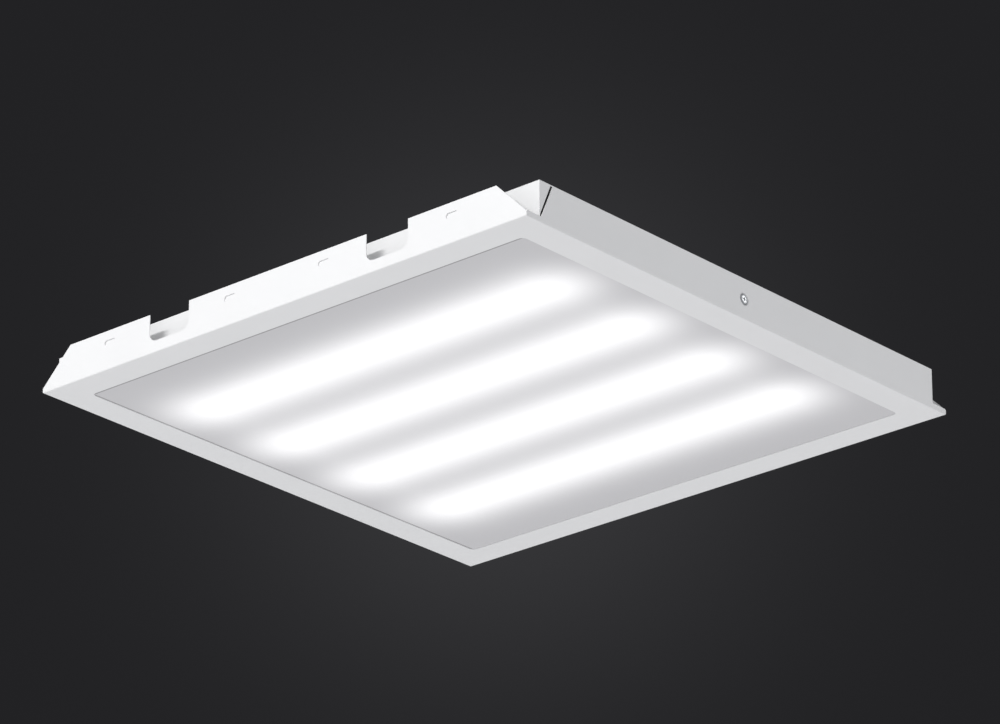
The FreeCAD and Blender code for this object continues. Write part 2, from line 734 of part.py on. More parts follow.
def make_side_screws():
    """A cross-headed screw for each side upstand, its head in the cup."""
    level = "Sizes.screw_level"
    for label, sign, outward, inward in (("right", "", "+", "-"), ("left", "-", "-", "+")):
        body = new_body(f"side_screw_{label}")
        seat = f"{sign}{CUP_FACE}"
        tip = f"{seat} {inward} Sizes.screw_length"
        face = f"{seat} {outward} Sizes.screw_head_depth"
        turn(body, "XZ_Plane", ((tip, level), (seat, level)), [
            (tip, level),
            (tip, f"{level} + Sizes.screw_diameter / 2"),
            (seat, f"{level} + Sizes.screw_diameter / 2"),
            (seat, f"{level} + Sizes.screw_head / 2"),
            (face, f"{level} + Sizes.screw_head / 2"),
            (face, level),
        ])
        sketch = new_sketch(body, "YZ_Plane", face)
        cross(sketch, level)
        pocket(body, sketch, "Sizes.cross_depth", reverse=label == "left")


def make_side_nuts():
    """Square nut cages welded inside the tray's walls, each over a window."""
    body = new_body("side_nuts")
    level = "Sizes.screw_level"
    inside = f"({HALF_TRAY_X} - Sizes.tray_sheet)"
    outer = "(Sizes.cage_width / 2)"
    window = "(Sizes.cage_window / 2)"
    cage = new_sketch(body, "YZ_Plane", inside)
    rectangle(cage, "0", level, outer, outer)
    features = [pad(body, cage, f"{inside} - {CUP_BACK} + Sizes.cage_floor", reverse=True)]
    recess = new_sketch(body, "YZ_Plane", inside)
    rectangle(recess, "0", level, window, window)
    features.append(pocket(body, recess, f"{inside} - {CUP_BACK}"))
    thread = new_sketch(body, "YZ_Plane", CUP_BACK)
    circle(thread, "0", level, "Sizes.screw_diameter / 2 + Sizes.thread_gap")
    features.append(pocket(body, thread, "Sizes.cage_floor"))
    mirror(body, features, "YZ_Plane")


# ------------------------------------------------------------------ light strips

def make_strips():
    for number, y in enumerate(strip_lines(), start=1):
        holes = [(x, line, RIVET_HOLE) for x, line in rivet_places() if line == y]
        block(f"light_strip_{number}", (f"-{STRIP_END}", STRIP_END),
              (f"{y} - Sizes.strip_width / 2", f"{y} + Sizes.strip_width / 2"),
              (STRIP_FACE, CEILING), holes=holes)
        make_diodes(number, y)


def make_diodes(number, y):
    """The row of diodes on one strip, as separate chips."""
    body = new_body(f"diodes_{number}")
    sketch = new_sketch(body, "XY_Plane", STRIP_FACE)
    first = "-(Sizes.diode_count - 1) * Sizes.diode_pitch / 2"
    rectangle(sketch, first, y, "Sizes.diode_length / 2", "Sizes.diode_width / 2")
    chip = pad(body, sketch, "Sizes.diode_depth", reverse=True)
    repeat(body, [chip], [("X_Axis", "Sizes.diode_pitch", "Sizes.diode_count")])


def make_strip_rivets():
    """Square snap rivets that hold the strips: a flat head below, a barb above the tray."""
    body = new_body("strip_rivets")
    first = rivet_places()[:1]
    features = [
        upright(body, first, STRIP_FACE, "Sizes.rivet_head_depth", "Sizes.rivet_head / 2",
                reverse=True),
        upright(body, first, STRIP_FACE, f"Sizes.tray_top - {STRIP_FACE}", "Sizes.rivet_width / 2"),
        upright(body, first, "Sizes.tray_top", "Sizes.rivet_barb_depth", "Sizes.rivet_barb / 2"),
    ]
    repeat(body, features, [("X_Axis", RIVET_PITCH, "3"), ("Y_Axis", "Sizes.strip_pitch", "4")])


def make_plugs():
    """Lead connectors on the ends of the strips that the leads reach."""
    body = new_body("strip_plugs")
    sketch = new_sketch(body, "XY_Plane", STRIP_FACE)
    middle = f"(({PLUG_START} + {PLUG_END}) / 2)"
    for x, y in ((f"-{middle}", INNER_STRIP), (middle, INNER_STRIP), (middle, OUTER_STRIP)):
        rectangle(sketch, x, y, "Sizes.plug_length / 2", "Sizes.plug_width / 2")
    plugs = pad(body, sketch, "Sizes.plug_depth", reverse=True)
    mirror(body, [plugs], "XZ_Plane")


# ------------------------------------------------------------------ driver and its cover

def make_cover():
    """A folded cover with flanges along its sides, vents, and a port for the terminal block."""
    body = new_body("driver_cover")
    top = "(Sizes.tray_top + Sizes.cover_depth)"
    inner_x = f"({COVER_END} - Sizes.cover_sheet)"
    inner_y = f"({COVER_HALF} - Sizes.cover_sheet)"
    sketch = new_sketch(body, "XY_Plane", "Sizes.tray_top")
    rectangle(sketch, "0", "0", COVER_END, COVER_HALF)
    pad(body, sketch, "Sizes.cover_depth")
    round_edges(body, "Sizes.cover_sheet", level_edge(top, COVER_END, COVER_HALF))
    sketch = new_sketch(body, "XY_Plane", "Sizes.tray_top")
    rectangle(sketch, "0", "0", inner_x, inner_y)
    pocket(body, sketch, "Sizes.cover_depth - Sizes.cover_sheet", reverse=True)

    sketch = new_sketch(body, "XY_Plane", "Sizes.tray_top")
    reach = f"({COVER_END} - Sizes.cover_bevel)"
    for sign in SIGNS:
        outside = f"{sign}({COVER_HALF} + Sizes.cover_flange)"
        side = f"{sign}({COVER_HALF} + Sizes.cover_flange - Sizes.cover_bevel)"
        inside = f"{sign}{inner_y}"
        outline(sketch, [(f"-{COVER_END}", inside), (f"-{COVER_END}", side),
                         (f"-{reach}", outside), (reach, outside),
                         (COVER_END, side), (COVER_END, inside)])
    for x, y in cover_screw_places():
        circle(sketch, x, y, "Sizes.tapping_screw / 2 + Sizes.screw_hole_gap")
    pad(body, sketch, "Sizes.cover_sheet")

    sketch = new_sketch(body, "YZ_Plane", COVER_END)
    port = "(Sizes.pole_pitch * 3 / 2 + Sizes.block_gap)"
    roof = f"{BLOCK_TOP} + Sizes.block_gap"
    outline(sketch, [(f"-{port}", "Sizes.tray_top"), (port, "Sizes.tray_top"),
                     (port, roof), (f"-{port}", roof)])
    pocket(body, sketch, "Sizes.cover_sheet")

    sketch = new_sketch(body, "XZ_Plane", COVER_HALF)
    rectangle(sketch, "-(Sizes.vent_count - 1) * Sizes.vent_pitch / 2",
              "Sizes.tray_top + Sizes.vent_level", "Sizes.vent_width / 2", "Sizes.vent_length / 2")
    vent = pocket(body, sketch, "Sizes.cover_sheet")
    repeat(body, [vent], [("X_Axis", "Sizes.vent_pitch", "Sizes.vent_count")], "XZ_Plane")


def make_cover_screws():
    screws("cover_screws", cover_screw_places(), "(Sizes.tray_top + Sizes.cover_sheet)",
           "Sizes.tapping_head", "Sizes.tapping_head_depth", "Sizes.tapping_screw",
           "(Sizes.cover_sheet + Sizes.tapping_length)")


def post_places():
    side = "(Sizes.driver_width / 2 - Sizes.post_inset)"
    ends = (f"{DRIVER_START} + Sizes.post_inset", f"{DRIVER_END} - Sizes.post_inset")
    return [(x, f"{sign}{side}") for x in ends for sign in SIGNS]


def make_driver():
    """The driver's circuit board, on square posts over an insulating liner."""
    side = "(Sizes.driver_width / 2)"
    margin = "Sizes.liner_margin"
    block("driver_liner", (f"{DRIVER_START} - {margin}", f"{DRIVER_END} + {margin}"),
          (f"-{side} - {margin}", f"{side} + {margin}"), ("Sizes.tray_top", LINER_TOP))
    holes = [(x, y, "(Sizes.post_neck / 2 + Sizes.rivet_gap)") for x, y in post_places()]
    block("driver_board", (DRIVER_START, DRIVER_END), (f"-{side}", side), (BOARD_FOOT, BOARD_TOP),
          holes=holes)
    body = new_body("board_posts")
    upright(body, post_places(), LINER_TOP, "Sizes.driver_lift", "Sizes.post_width / 2")
    upright(body, post_places(), BOARD_FOOT, "Sizes.driver_sheet", "Sizes.post_neck / 2")
    upright(body, post_places(), BOARD_TOP, "Sizes.post_knob_depth", "Sizes.post_knob / 2")


def make_transformer():
    """A ferrite core with three legs, and the winding round its middle leg."""
    half = "Sizes.core_length / 2"
    leg = "Sizes.core_leg"
    middle = f"{BOARD_TOP} + Sizes.core_height / 2"
    slot = f"(({half} - 2 * {leg}) / 2)"
    body = new_body("transformer_core")
    sketch = new_sketch(body, "XZ_Plane", "-Sizes.core_depth / 2")
    rectangle(sketch, DRIVER_X, middle, half, "Sizes.core_height / 2")
    for sign in "-+":
        rectangle(sketch, f"{DRIVER_X} {sign} ({leg} + {slot})", middle, slot,
                  f"(Sizes.core_height / 2 - {leg})")
    pad(body, sketch, "Sizes.core_depth")
    body = new_body("transformer_winding")
    clear = "Sizes.winding_gap"
    sketch = new_sketch(body, "XY_Plane", f"{BOARD_TOP} + {leg} + {clear}")
    rectangle(sketch, DRIVER_X, "0", f"({half} - {leg} - {clear})",
              f"(Sizes.core_depth / 2 + 2 * {slot} - {clear})")
    rectangle(sketch, DRIVER_X, "0", f"({leg} + {clear})", f"(Sizes.core_depth / 2 + {clear})")
    pad(body, sketch, f"Sizes.core_height - 2 * {leg} - 2 * {clear}")


def make_board_parts():
    """The capacitors, the choke and the ports that stand on the circuit board."""
    body = new_body("smoothing_capacitors")
    sketch = new_sketch(body, "XY_Plane", BOARD_TOP)
    for sign in SIGNS:
        circle(sketch, f"{DRIVER_X} - Sizes.can_shift", f"{sign}Sizes.can_pitch / 2",
               "Sizes.can_diameter / 2")
    pad(body, sketch, "Sizes.can_height")
    shift = f"({DRIVER_X} + Sizes.can_shift)"
    block("input_capacitor",
          (f"{shift} - Sizes.film_length / 2", f"{shift} + Sizes.film_length / 2"),
          ("Sizes.film_side", "Sizes.film_side + Sizes.film_width"),
          (BOARD_TOP, f"{BOARD_TOP} + Sizes.film_height"))
    body = new_body("line_choke")
    sketch = new_sketch(body, "XY_Plane", BOARD_TOP)
    for diameter in ("Sizes.choke_diameter", "Sizes.choke_bore"):
        circle(sketch, shift, "-Sizes.film_side - Sizes.choke_diameter / 2", f"{diameter} / 2")
    pad(body, sketch, "Sizes.choke_height")
    half = "Sizes.port_width / 2"
    level = (BOARD_TOP, f"{BOARD_TOP} + Sizes.port_height")
    block("output_port", (DRIVER_START, f"{DRIVER_START} + Sizes.port_length"),
          (f"-{half}", half), level)
    block("input_port", (f"{DRIVER_END} - Sizes.port_length", DRIVER_END),
          (f"{MAINS_Y} - {half}", f"{MAINS_Y} + {half}"), level)


# ------------------------------------------------------------------ terminal block and clamp

def pole_lines():
    """Name and Y of each pole of the terminal block."""
    return (("live", "Sizes.pole_pitch"), ("neutral", "0"), ("earth", "-Sizes.pole_pitch"))


def make_terminal_block():
    """A moulded housing for each pole, with a well for its button and a square-mouthed hole."""
    body = new_body("terminal_block")
    sketch = new_sketch(body, "XY_Plane", "Sizes.tray_top")
    middle = f"(({BLOCK_START} + {BLOCK_END}) / 2)"
    for pole, y in pole_lines():
        rectangle(sketch, middle, y, "Sizes.block_length / 2",
                  "((Sizes.pole_pitch - Sizes.pole_gap) / 2)")
    pad(body, sketch, "Sizes.block_height")
    wells = new_sketch(body, "XY_Plane", BLOCK_TOP)
    mouths = new_sketch(body, "YZ_Plane", BLOCK_END)
    level = "Sizes.tray_top + Sizes.wire_level"
    mouth = "Sizes.mouth_width / 2"
    for pole, y in pole_lines():
        rectangle(wells, BUTTON_X, y, "(Sizes.button_length / 2 + Sizes.button_gap)",
                  "(Sizes.button_width / 2 + Sizes.button_gap)")
        rectangle(mouths, y, level, mouth, mouth)
    pocket(body, wells, "Sizes.button_depth + Sizes.button_travel + Sizes.button_gap")
    pocket(body, mouths, "Sizes.mouth_depth")
    holes = new_sketch(body, "YZ_Plane", f"{BLOCK_END} - Sizes.mouth_depth")
    for pole, y in pole_lines():
        circle(holes, y, level, "Sizes.wire_hole / 2")
    pocket(body, holes, "Sizes.wire_depth - Sizes.mouth_depth")


def make_buttons():
    """Push buttons that release the wires, each with a slot for a screwdriver."""
    top = f"({BLOCK_TOP} + Sizes.button_proud)"
    for pole, y in pole_lines():
        body = new_body(f"release_button_{pole}")
        sketch = new_sketch(body, "XY_Plane", f"{BLOCK_TOP} - Sizes.button_depth")
        rectangle(sketch, BUTTON_X, y, "Sizes.button_length / 2", "Sizes.button_width / 2")
        pad(body, sketch, "Sizes.button_depth + Sizes.button_proud")
        height = size(top)
        bevel_edges(body, "Sizes.button_bevel",
                    lambda edge, height=height: edge.BoundBox.ZMin > height - TOUCH)
        sketch = new_sketch(body, "XY_Plane", top)
        rectangle(sketch, BUTTON_X, y, "Sizes.button_slot_length / 2", "Sizes.button_slot_width / 2")
        pocket(body, sketch, "Sizes.button_slot_depth")


def make_cord_clamp():
    """A saddle that presses the mains cord on the tray, with a screw through each foot."""
    body = new_body("cord_clamp")
    sketch = new_sketch(body, "YZ_Plane", f"{CLAMP_X} - Sizes.clamp_width / 2")
    end = "(Sizes.clamp_length / 2)"
    space = "(Sizes.cord_space / 2)"
    shoulder = f"({space} + Sizes.clamp_sheet)"
    base = "Sizes.tray_top"
    roof = f"{base} + Sizes.cord_space"
    crown = f"{roof} + Sizes.clamp_sheet"
    bevel = "Sizes.clamp_bevel"
    outline(sketch, [
        (f"-{end}", base),
        (f"-{space}", base),
        (f"-{space}", f"{roof} - {bevel}"),
        (f"-{space} + {bevel}", roof),
        (f"{space} - {bevel}", roof),
        (space, f"{roof} - {bevel}"),
        (space, base),
        (end, base),
        (end, CLAMP_SEAT),
        (shoulder, CLAMP_SEAT),
        (shoulder, f"{crown} - {bevel}"),
        (f"{shoulder} - {bevel}", crown),
        (f"-{shoulder} + {bevel}", crown),
        (f"-{shoulder}", f"{crown} - {bevel}"),
        (f"-{shoulder}", CLAMP_SEAT),
        (f"-{end}", CLAMP_SEAT),
    ])
    pad(body, sketch, "Sizes.clamp_width")
    sketch = new_sketch(body, "XY_Plane", CLAMP_SEAT)
    for x, y in clamp_screw_places():
        circle(sketch, x, y, "Sizes.tapping_screw / 2 + Sizes.screw_hole_gap")
    pocket(body, sketch, "Sizes.clamp_sheet")
    screws("clamp_screws", clamp_screw_places(), CLAMP_SEAT, "Sizes.tapping_head",
           "Sizes.tapping_head_depth", "Sizes.tapping_screw",
           "(Sizes.clamp_sheet + Sizes.tapping_length)")


def make_earth():
    """The earth screw through the tray, its nut below and the ring tag under its head."""
    screws("earth_screw", [(EARTH_X, EARTH_Y)], "(Sizes.tray_top + Sizes.tag_sheet)",
           "Sizes.earth_head", "Sizes.earth_head_depth", "Sizes.earth_screw", "Sizes.earth_shank")
    body = new_body("earth_nut")
    sketch = new_sketch(body, "XY_Plane", CEILING)
    rectangle(sketch, EARTH_X, EARTH_Y, "Sizes.earth_nut / 2", "Sizes.earth_nut / 2")
    circle(sketch, EARTH_X, EARTH_Y, EARTH_HOLE)
    pad(body, sketch, "Sizes.earth_nut_depth", reverse=True)
    body = new_body("earth_tag")
    sketch = new_sketch(body, "XY_Plane", "Sizes.tray_top")
    circle(sketch, EARTH_X, EARTH_Y, "Sizes.tag_diameter / 2")
    circle(sketch, EARTH_X, EARTH_Y, EARTH_HOLE)
    pad(body, sketch, "Sizes.tag_sheet")
    half = f"({TAG_LEVEL} - Sizes.tray_top)"
    sketch = new_sketch(body, "YZ_Plane", BARREL_START)
    rectangle(sketch, EARTH_Y, TAG_LEVEL, half, half)
    pad(body, sketch, "Sizes.tag_barrel")


# ------------------------------------------------------------------ leads and their grommet

def make_grommet():
    """A moulded grommet with a slot for the two twin leads."""
    body = new_body("lead_grommet")
    low = f"({CEILING} - Sizes.grommet_lip)"
    high = "(Sizes.tray_top + Sizes.grommet_lip)"
    neck = "Sizes.grommet_wall - Sizes.grommet_gap"
    flange = "Sizes.grommet_wall + Sizes.grommet_flange"
    for foot, head, wall in ((low, CEILING, flange), (CEILING, "Sizes.tray_top", neck),
                             ("Sizes.tray_top", high, flange)):
        sketch = new_sketch(body, "XY_Plane", foot)
        rectangle(sketch, GROMMET_X, "0", f"({SLOT_X} + {wall})", f"({SLOT_Y} + {wall})")
        rectangle(sketch, GROMMET_X, "0", SLOT_X, SLOT_Y)
        pad(body, sketch, f"{head} - {foot}")


def swing(body, near, end, first, last):
    """Pad a flat lead, in its level, from near on one line to a turn past a strip and back."""
    half = "Sizes.flat_width / 2"
    inner = "Sizes.flat_turn"
    outer = "(Sizes.flat_turn + Sizes.flat_width)"
    out, back = ("+", "-") if size(end) > 0 else ("-", "+")
    turn_x = f"({end} {out} Sizes.turn_reach)"
    sketch = new_sketch(body, "XY_Plane", f"{STRIP_FACE} - Sizes.flat_level - Sizes.flat_depth / 2")
    outline(sketch, [
        (near, f"{first} - {half}"),
        (f"{turn_x} {out} {half}", f"{first} - {half}", outer),
        (f"{turn_x} {out} {half}", f"{last} + {half}", outer),
        (end, f"{last} + {half}"),
        (end, f"{last} - {half}"),
        (f"{turn_x} {back} {half}", f"{last} - {half}", inner),
        (f"{turn_x} {back} {half}", f"{first} + {half}", inner),
        (near, f"{first} + {half}"),
    ])
    return pad(body, sketch, "Sizes.flat_depth")


def make_feed_leads():
    """Twin leads from the driver down through the grommet to the near ends of two strips."""
    body = new_body("feed_leads")
    half = "Sizes.flat_depth / 2"
    inner = "Sizes.flat_bend"
    outer = "(Sizes.flat_bend + Sizes.flat_depth)"
    low = f"({STRIP_FACE} - Sizes.flat_level)"
    joint = f"({GROMMET_X} - Sizes.flat_joint)"
    side = "(Sizes.flat_gap / 2 + Sizes.flat_width)"
    sketch = new_sketch(body, "XZ_Plane", f"-{side}")
    outline(sketch, [
        (DRIVER_START, f"{PORT_LEVEL} + {half}"),
        (f"{GROMMET_X} - {half}", f"{PORT_LEVEL} + {half}", outer),
        (f"{GROMMET_X} - {half}", f"{low} + {half}", inner),
        (joint, f"{low} + {half}"),
        (joint, f"{low} - {half}"),
        (f"{GROMMET_X} + {half}", f"{low} - {half}", outer),
        (f"{GROMMET_X} + {half}", f"{PORT_LEVEL} - {half}", inner),
        (DRIVER_START, f"{PORT_LEVEL} - {half}"),
    ])
    drop = pad(body, sketch, "Sizes.flat_width")
    line = "((Sizes.flat_gap + Sizes.flat_width) / 2)"
    mirror(body, [drop, swing(body, joint, f"-{PLUG_END}", line, INNER_STRIP)], "XZ_Plane")


def make_link_leads():
    """Twin leads that link the far ends of two strips."""
    body = new_body("link_leads")
    mirror(body, [swing(body, PLUG_END, PLUG_END, INNER_STRIP, OUTER_STRIP)], "XZ_Plane")


def make_mains_leads():
    """Single leads from the terminal block to the driver, and to the earth tag."""
    body = new_body("mains_leads")
    sketch = new_sketch(body, "YZ_Plane", DRIVER_END)
    for y in ("0", "Sizes.pole_pitch"):
        circle(sketch, y, PORT_LEVEL, "Sizes.lead_diameter / 2")
    pad(body, sketch, f"{BLOCK_START} - {DRIVER_END}")
    body = new_body("earth_lead")
    start = f"({BARREL_START} + Sizes.tag_barrel)"
    sketch = new_sketch(body, "YZ_Plane", start)
    circle(sketch, EARTH_Y, TAG_LEVEL, "Sizes.lead_diameter / 2")
    pad(body, sketch, f"{BLOCK_START} - {start}")


def check_pieces():
    """Stop unless every object is sound and every piece is a valid shape."""
    for thing in document.Objects:
        if "Invalid" in thing.State or "Error" in thing.State:
            raise RuntimeError(f"{thing.Label} failed: {thing.State}")
    for piece in pieces:
        if piece.Shape.isNull() or not piece.Shape.isValid():
            raise RuntimeError(f"{piece.Label} has no valid shape")


def write_pieces():
    os.makedirs("parts", exist_ok=True)
    for piece in pieces:
        piece.Shape.exportStep(f"parts/{piece.Label}.step")


make_frame()
make_opal_sheet()
make_tray()
make_side_screws()
make_side_nuts()
make_strips()
make_strip_rivets()
make_plugs()
make_cover()
make_cover_screws()
make_driver()
make_transformer()
make_board_parts()
make_terminal_block()
make_buttons()
make_cord_clamp()
make_earth()
make_grommet()
make_feed_leads()
make_link_leads()
make_mains_leads()
document.recompute()
check_pieces()
write_pieces()
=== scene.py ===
"""Looks for a recessed 595 mm ceiling luminaire, seen from below with its light strips on.

Lengths are in metres, in the CAD model's frame: +Z up into the ceiling, -Y towards the front.
"""
import json
import math

import bmesh
import bpy
from mathutils import Matrix, Vector


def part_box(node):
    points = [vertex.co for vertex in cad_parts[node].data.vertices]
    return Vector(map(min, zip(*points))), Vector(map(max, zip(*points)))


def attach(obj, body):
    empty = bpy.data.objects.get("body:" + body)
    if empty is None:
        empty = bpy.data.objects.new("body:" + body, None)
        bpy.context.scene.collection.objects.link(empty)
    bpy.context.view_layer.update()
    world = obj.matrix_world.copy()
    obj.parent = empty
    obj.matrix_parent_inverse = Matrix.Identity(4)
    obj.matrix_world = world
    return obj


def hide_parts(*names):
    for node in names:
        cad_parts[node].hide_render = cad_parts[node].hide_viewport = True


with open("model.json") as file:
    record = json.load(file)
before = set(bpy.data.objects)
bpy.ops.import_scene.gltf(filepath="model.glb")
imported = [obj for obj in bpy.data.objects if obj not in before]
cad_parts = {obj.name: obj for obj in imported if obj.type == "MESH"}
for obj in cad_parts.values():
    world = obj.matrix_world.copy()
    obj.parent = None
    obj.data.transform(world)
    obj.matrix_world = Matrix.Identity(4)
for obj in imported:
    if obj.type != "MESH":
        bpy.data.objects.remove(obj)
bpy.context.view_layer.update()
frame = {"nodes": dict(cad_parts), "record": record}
NODES = frame["nodes"]
SLOT_OF = {row["node"]: row["material_slot"] for row in frame["record"]["subparts"]}
BODY_OF = {node: body for body, nodes in frame["record"]["behaviour"]["bodies"].items()
           for node in nodes}

MM = 0.001

# The photograph's camera: a long lens a little over five metres away, below the ceiling.
CAMERA_PLACE = (3.1448, -3.5565, -1.9928)
CAMERA_RIGHT = (0.74952, 0.66198, -0.00025)
CAMERA_UP = (0.26103, -0.29521, 0.91908)
CAMERA_LENS = 199.3             # millimetres, on a sensor 36 mm wide
SENSOR_WIDTH = 36.0

# Studio: a long key lamp up in front, a small lamp up behind on the right, a wide soft lamp near
# the floor, a bright surround and a pale floor.
KEY_TRAVEL = (2.6, 18.5, -9.5)  # the way its light goes
KEY_DISTANCE = 8.0
KEY_WIDTH = 4.0
KEY_HEIGHT = 0.3
KEY_POWER = 372.0
RIM_PLACE = (3.65, 4.13, 2.36)  # where the side screw's face mirrors it towards the camera
RIM_WIDTH = 1.6
RIM_POWER = 17.0
FILL_PLACE = (0.0, 0.0, -2.3)
FILL_WIDTH = 6.0
FILL_POWER = 40.0
SURROUND = "#F6F7FA"
SURROUND_STRENGTH = 0.61
MIRRORED_STRENGTH = 0.28        # the surround as metal and gloss show it
BACKDROP = "#222224"
BACKDROP_GLOW = "#39393B"
GLOW_PLACE = (-0.006, 0.012, 0.0)  # middle of the glow behind the luminaire
GLOW_SPREAD = 0.0336            # standard deviation in radians, as the camera sees it
FLOOR_LEVEL = -2.4
FLOOR_WIDTH = 60.0
FLOOR_COLOUR = "#D9D9DA"
FARTHEST = 100.0                # how far the camera sees

# Finishes: the colour clouds slowly over many grains, and the gloss varies with each grain. A
# grain that would be too fine to show is drawn as coarse as it needs to be.
GRAIN_DETAIL = 3.0
CLOUD_DETAIL = 2.0
CLOUD_GRAINS = 40               # grains across one cloud
GLOSS_CHANGE = 0.15

# The opal sheet and the light behind it: a bright band under each strip, fading towards its ends.
STRIP_NODES = [f"light_strip_{number}" for number in range(1, 5)]
BAND_SPREAD = 28.5 * MM         # standard deviation of a band's light, across the band
BAND_PEAK = 0.62                # strength of the light along a band's middle
BAND_FADE_START = 200.0 * MM
BAND_FADE_END = 286.0 * MM
CHAMBER_GLOW = 0.08             # light that fills the whole sheet evenly
OPAL_COLOUR = "#C0BFC1"
OPAL_LIGHT = "#FFFFFF"
OPAL_ROUGHNESS = 0.42
PEBBLE_PITCH = 0.9 * MM         # of the matt face, drawn coarse enough to show
PEBBLE_RELIEF = 0.05 * MM
PEBBLE_DETAIL = 2.0

# The lip keeps light from the sheet beside it: a thin dark line at the front and at the left.
FRONT_SHADE = -262.6 * MM
LEFT_SHADE = -264.3 * MM
SHADE_LEFT_OVER = 0.55          # the share of the light and colour that stays there

# Side screws: cross-recessed pan heads in the frame's cups.
PAN_RADIUS = 5.3 * MM
PAN_RIM = 1.3 * MM              # height of the head's side below its dome
PAN_DOME = 0.8 * MM
PAN_RINGS = 7
PAN_SIDES = 64
RING_SHARE = 0.9                # how much of its step each ring of the dome covers
RECESS_REACH = 3.4 * MM         # from the middle to the end of a wing
RECESS_WING = 1.4 * MM          # width of a wing
RECESS_DEPTH = 2.5 * MM
RECESS_TAPER = 0.5
RECESS_TURNS = (math.radians(75), math.radians(165))
SIDE_HEAD = 1.9 * MM            # depth of the CAD head from its seat
SIDE_SHANK = 4.0 * MM

# Threads are rings, a crest and a root to each pitch.
THREAD_PITCH = 0.7 * MM
THREAD_DEPTH = 0.35 * MM

# Tapping screws with a hexagon head on a collar.
TAPPING_FLATS = 6.8 * MM
TAPPING_HEAD = 2.3 * MM
TAPPING_SHANK = 3.5 * MM
COLLAR_RADIUS = 4.7 * MM
COLLAR_HEIGHT = 0.6 * MM
COLLAR_SIDES = 32
HEX_SIDES = 6
HEX_CHAMFER = 0.45 * MM
HEX_EDGE = 0.15 * MM            # width of the rounding on the hexagon's and collar's edges
HEX_EDGE_STEPS = 2
COVER_SCREW_PLACES = ((-100 * MM, 44 * MM), (100 * MM, -44 * MM))
COVER_SCREW_SEAT = 41.8 * MM
COVER_SCREW_LENGTH = 6.0 * MM
CLAMP_SCREW_PLACES = ((178 * MM, -19 * MM), (178 * MM, 19 * MM))
CLAMP_SCREW_SEAT = 44.1 * MM
CLAMP_SCREW_LENGTH = 8.0 * MM

# Moulded and folded pieces that get rounded edges, with the width of the rounding.
ROUNDED_EDGES = {
    "terminal_block": 0.45 * MM,
    "cord_clamp": 0.45 * MM,
    "release_button_live": 0.35 * MM,
    "release_button_neutral": 0.35 * MM,
    "release_button_earth": 0.35 * MM,
    "driver_cover": 0.5 * MM,
}
ROUNDED_STEPS = 3
SHARP_ANGLE = math.radians(32)  # faces that meet more sharply than this keep an edge
FLAT_ANGLE = math.radians(0.5)  # faces that meet more flatly than this become one
MERGE_DISTANCE = 0.002 * MM
FACING = 0.5                    # a face looks up or down where its normal's part that way is more

# Sockets that share their name with others, by their place on the node.
FIRST, SECOND = 0, 1            # the numbers or vectors that a Math node works on
COLOUR_A, COLOUR_B = 6, 7       # the colours that a Mix node blends
MIXED_COLOUR = 2                # the colour that it gives
SHADER_A, SHADER_B = 1, 2       # the shaders that a Mix Shader node chooses between


# ------------------------------------------------------------------ materials

def linear(code):
    """An sRGB hex code as linear red, green, blue and alpha, by the standard's own curve."""
    channels = []
    for start in (1, 3, 5):
        value = int(code[start:start + 2], 16) / 255
        if value <= 0.04045:
            channels.append(value / 12.92)
        else:
            channels.append(((value + 0.055) / 1.055) ** 2.4)
    return (*channels, 1.0)


def add_node(tree, kind, values=None, links=None, **settings):
    """Add a node with its settings, the values of its sockets and what is linked into them."""
    node = tree.nodes.new(kind)
    for name, value in settings.items():
        setattr(node, name, value)
    for socket, value in (values or {}).items():
        node.inputs[socket].default_value = value
    for socket, source in (links or {}).items():
        tree.links.new(source, node.inputs[socket])
    return node


def blank_material(name):
    """A material with its shader, its output and the piece's own coordinates."""
    material = bpy.data.materials.new(name)
    material.use_nodes = True
    tree = material.node_tree
    tree.nodes.clear()
    shader = add_node(tree, "ShaderNodeBsdfPrincipled")
    add_node(tree, "ShaderNodeOutputMaterial", links={"Surface": shader.outputs["BSDF"]})
    place = add_node(tree, "ShaderNodeTexCoord").outputs["Object"]
    return material, tree, shader, place


def grained(name, pale, dark, grain_mm, relief_mm, roughness, metallic=0.0, ior=1.5):
    """A finish whose colour, gloss and relief vary with one grain of a real size."""
    material, tree, shader, place = blank_material(name)
    grain_size = grain_mm * MM
    grain = add_node(tree, "ShaderNodeTexNoise",
                     {"Scale": 1 / grain_size, "Detail": GRAIN_DETAIL}, {"Vector": place})
    cloud = add_node(tree, "ShaderNodeTexNoise",
                     {"Scale": 1 / (CLOUD_GRAINS * grain_size), "Detail": CLOUD_DETAIL},
                     {"Vector": place})
    blend = add_node(tree, "ShaderNodeMix", {COLOUR_A: linear(dark), COLOUR_B: linear(pale)},
                     {"Factor": cloud.outputs["Fac"]}, data_type="RGBA")
    gloss = add_node(tree, "ShaderNodeMapRange",
                     {"To Min": roughness * (1 - GLOSS_CHANGE),
                      "To Max": roughness * (1 + GLOSS_CHANGE)},
                     {"Value": grain.outputs["Fac"]})
    bump = add_node(tree, "ShaderNodeBump", {"Distance": relief_mm * MM, "Strength": 1.0},
                    {"Height": grain.outputs["Fac"]})
    tree.links.new(blend.outputs[MIXED_COLOUR], shader.inputs["Base Color"])
    tree.links.new(gloss.outputs["Result"], shader.inputs["Roughness"])
    tree.links.new(bump.outputs["Normal"], shader.inputs["Normal"])
    shader.inputs["Metallic"].default_value = metallic
    shader.inputs["IOR"].default_value = ior
    return material


